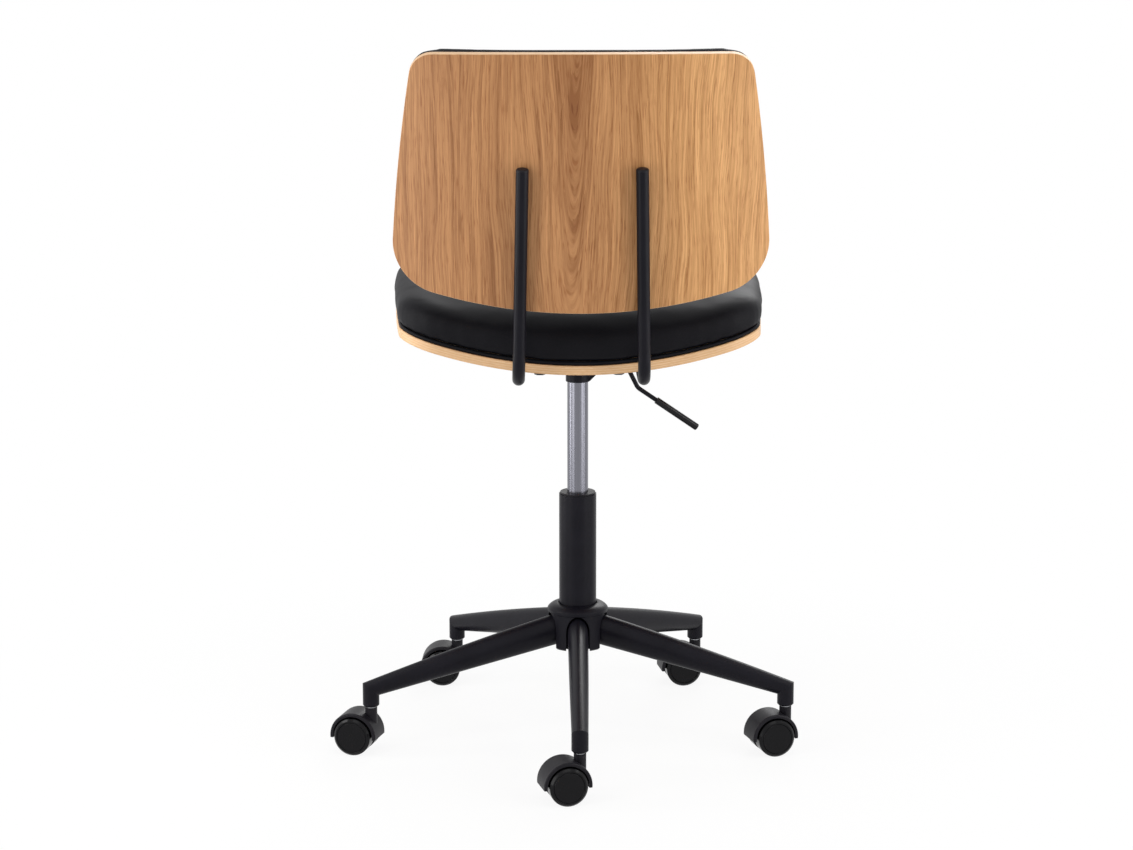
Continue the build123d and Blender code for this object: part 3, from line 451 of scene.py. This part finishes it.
def inflate(piece, held_points):
    """Blows up a cover like foam under pressure, held at some of its points."""
    held = piece.vertex_groups.new(name="held")
    held.add([int(i) for i in held_points], 1.0, "REPLACE")
    cloth = piece.modifiers.new("cover", "CLOTH")
    cloth.settings.quality = 6
    cloth.settings.mass = cover_mass
    cloth.settings.tension_stiffness = cover_stiffness
    cloth.settings.compression_stiffness = cover_stiffness
    cloth.settings.bending_stiffness = cover_bending
    cloth.settings.use_pressure = True
    cloth.settings.uniform_pressure_force = foam_pressure
    cloth.settings.vertex_group_mass = "held"
    cloth.settings.effector_weights.gravity = 0.0
    for step in range(1, foam_frames + 1):
        scene.frame_set(step)
    swollen = finished_mesh(piece)
    piece.modifiers.clear()
    piece.vertex_groups.clear()
    piece.data = swollen


def swell(piece, panel, slack, spread, limit):
    """Rounds a cover over its foam. Each point moves by the limit at most.

    Before it swells, its crown starts lower by the slack, and its sides start wider by the spread,
    because the swelling pulls them in.
    """
    mesh = piece.data
    edges = np.array([edge.vertices for edge in mesh.edges])
    rest = np.array([vert.co for vert in mesh.vertices])
    heights = np.array([panel_spot(panel, vert.co)[2] - pad_base_mm for vert in mesh.vertices])
    freedom = np.clip((heights[:, None] - free_from_mm) / free_over_mm, 0.0, 1.0)
    rest += (evened(rest, edges, softening_rounds) - rest) * freedom
    mesh.vertices.foreach_set("co", rest.ravel())
    mesh.update()
    normals = np.array([vert.normal for vert in mesh.vertices])
    crown = np.abs(normals @ np.array(panel_turn(panel).col[2]))[:, None]
    start = rest + normals * (spread * (1.0 - crown) - slack * crown) * freedom
    mesh.vertices.foreach_set("co", start.ravel())
    inflate(piece, np.flatnonzero(heights < held_mm))
    moves = np.array([vert.co for vert in piece.data.vertices]) - rest
    reach = np.maximum(np.linalg.norm(moves, axis=1, keepdims=True), 1e-9)
    moves = evened(moves * np.minimum(1.0, limit / reach), edges, evening_rounds)
    piece.data.vertices.foreach_set("co", (rest + moves).ravel())
    scene.frame_set(1)
    smooth_faces(piece.data)
    rounding = piece.modifiers.new("rounding", "SUBSURF")
    rounding.levels = 1
    rounding.render_levels = 1


def make_pad(node, name, panel, cover, slack, spread, limit):
    """A padded piece in place of its plain solid."""
    pad = remeshed_copy(node, name)
    swell(pad, panel, slack, spread, limit)
    pad.data.materials.clear()
    pad.data.materials.append(cover)
    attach(pad, "seat")
    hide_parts(node)


def rim_line(node, panel):
    """Even points along the outer face of a welt, in its panel's millimetres."""
    spots = [panel_spot(panel, nodes[node].matrix_world @ vert.co) for vert in nodes[node].data.vertices]
    rim = np.array([(x, y) for x, y, depth in spots if abs(depth - welt_depth_mm) < welt_tolerance_mm])
    centre = (rim.max(axis=0) + rim.min(axis=0)) / 2
    order = np.argsort([atan2(y, x) for x, y in rim - centre])
    line = np.concatenate([rim[order], rim[order[:1]]])
    run = np.concatenate([[0.0], np.cumsum(np.linalg.norm(np.diff(line, axis=0), axis=1))])
    stops = np.linspace(0.0, run[-1], piping_steps, endpoint=False)
    return np.stack([np.interp(stops, run, line[:, k]) for k in (0, 1)], axis=1)


def make_piping(node, name, panel, cover):
    """A covered cord round the foot of a pad, in place of its plain welt."""
    line = rim_line(node, panel)
    heading = np.roll(line, -1, axis=0) - np.roll(line, 1, axis=0)
    heading /= np.linalg.norm(heading, axis=1, keepdims=True)
    inward = np.stack([-heading[:, 1], heading[:, 0]], axis=1)
    curve = bpy.data.curves.new(name, "CURVE")
    curve.dimensions = "3D"
    curve.bevel_depth = cord_mm / 2000
    curve.bevel_resolution = 3
    spline = curve.splines.new("POLY")
    spline.points.add(len(line) - 1)
    spline.use_cyclic_u = True
    for point, (across, along) in zip(spline.points, line + inward * cord_mm / 2):
        point.co = (*panel_point(panel, across, along, welt_depth_mm), 1.0)
    rail = bpy.data.objects.new(name + "_rail", curve)
    scene.collection.objects.link(rail)
    piping = bpy.data.objects.new(name, finished_mesh(rail))
    bpy.data.objects.remove(rail)
    scene.collection.objects.link(piping)
    smooth_faces(piping.data)
    piping.data.materials.clear()
    piping.data.materials.append(cover)
    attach(piping, "seat")
    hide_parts(node)


# Studio


def seen_rays(tree):
    """One where a ray shows the background, straight or in a reflection, and nought where it lights."""
    path = add(tree, "LightPath", {}, {})
    shown = add(
        tree, "Math", {"operation": "MAXIMUM"},
        {0: path.outputs["Is Camera Ray"], 1: path.outputs["Is Glossy Ray"]},
    )
    return add(tree, "Math", {"operation": "MAXIMUM"}, {0: shown, 1: path.outputs["Is Transmission Ray"]})


def white_surround():
    """White for the eye and for reflections; a softer white for light on the object."""
    world = bpy.data.worlds.new("studio")
    scene.world = world
    world.use_nodes = True
    tree = world.node_tree
    tree.nodes.clear()
    strength = add(tree, "MapRange", {}, {"Value": seen_rays(tree), "To Min": 0.3, "To Max": 1.0})
    glow = add(tree, "Background", {}, {"Color": (1.0, 1.0, 1.0, 1.0), "Strength": strength})
    add(tree, "OutputWorld", {}, {"Surface": glow})


def pale_floor():
    """A seamless white floor that keeps the chair's soft shadow and fades into the surround."""
    mesh = bmesh.new()
    bmesh.ops.create_grid(mesh, x_segments=1, y_segments=1, size=6.0)
    data = bpy.data.meshes.new("floor")
    mesh.to_mesh(data)
    mesh.free()
    floor = bpy.data.objects.new("floor", data)
    scene.collection.objects.link(floor)
    material = bpy.data.materials.new("white_paper")
    material.use_nodes = True
    tree = material.node_tree
    tree.nodes.clear()
    paper = add(tree, "BsdfDiffuse", {}, {"Color": (0.9, 0.9, 0.9, 1.0)})
    glow = add(tree, "Emission", {}, {"Color": (1.0, 1.0, 1.0, 1.0), "Strength": 1.0})
    spot = add(tree, "TexCoord", {}, {})
    far = add(tree, "VectorMath", {"operation": "LENGTH"}, {0: spot.outputs["Object"]})
    fade = add(
        tree, "MapRange", soft_step,
        {"Value": far, "From Min": 0.25, "From Max": 0.95, "To Min": 0.9, "To Max": 1.0},
    )
    share = add(tree, "Math", {"operation": "MULTIPLY"}, {0: seen_rays(tree), 1: fade})
    mixed = add(tree, "MixShader", {}, {"Fac": share, 1: paper, 2: glow})
    add(tree, "OutputMaterial", {}, {"Surface": mixed})
    data.materials.append(material)


def softbox(name, place, target, width, height, watts):
    """A rectangular studio lamp that faces a point."""
    light = bpy.data.lights.new(name, "AREA")
    light.shape = "RECTANGLE"
    light.size = width
    light.size_y = height
    light.energy = watts
    lamp = bpy.data.objects.new(name, light)
    lamp.location = place
    lamp.rotation_euler = (Vector(target) - Vector(place)).to_track_quat("-Z", "Y").to_euler()
    lamp.visible_camera = False
    scene.collection.objects.link(lamp)


def photo_camera():
    """The photograph's view: a long lens behind the chair, a little round it and looking down."""
    distance = 4.067
    height = 1.293
    round_by = radians(1.17)
    look_down = radians(12.03)
    camera = bpy.data.cameras.new("camera")
    camera.sensor_width = 36.0
    camera.lens = 98.9
    camera.shift_x = -0.0099
    eye = bpy.data.objects.new("camera", camera)
    eye.location = (distance * sin(round_by), distance * cos(round_by), height)
    eye.rotation_euler = (radians(90) - look_down, 0.0, radians(180) - round_by)
    scene.collection.objects.link(eye)
    scene.camera = eye


black_cover = leatherette()
dress_nodes(black_cover)
make_pad(
    "seat_cushion", "seat_cushion_cover", seat_panel, black_cover,
    slack=0.001, spread=0.006, limit=0.008,
)
make_pad(
    "back_pad", "back_pad_cover", back_panel, black_cover,
    slack=0.001, spread=0.004, limit=0.006,
)
make_piping("seat_welt", "seat_piping", seat_panel, black_cover)
make_piping("back_welt", "back_piping", back_panel, black_cover)

scene.view_settings.view_transform = "Standard"
white_surround()
pale_floor()
# Big soft lamps light the wood, strips line the tubes, and two small lamps sharpen their shadows
softbox("softbox_left", (1.25, 1.0, 0.87), (0.0, 0.0, 0.87), width=0.6, height=1.7, watts=10.4)
softbox("softbox_right", (-1.25, 1.0, 0.87), (0.0, 0.0, 0.87), width=0.6, height=1.7, watts=9.4)
softbox("strip_left", (1.5, 0.05, 0.8), (0.0, 0.0, 0.8), width=0.4, height=1.5, watts=10.0)
softbox("strip_right", (-1.45, 0.4, 0.8), (0.0, 0.0, 0.8), width=0.25, height=1.5, watts=4.5)
softbox("softbox_front", (-0.8, -2.4, 1.9), (0.0, 0.0, 0.6), width=1.4, height=1.4, watts=30.0)
softbox("softbox_top", (0.0, 0.4, 3.0), (0.0, 0.1, 0.5), width=2.4, height=2.4, watts=22.0)
softbox("spot_left", (1.65, 1.5, 2.2), (0.0, 0.0, 0.3), width=0.22, height=0.22, watts=3.5)
softbox("spot_right", (-1.65, 1.5, 2.2), (0.0, 0.0, 0.3), width=0.22, height=0.22, watts=3.5)
photo_camera()
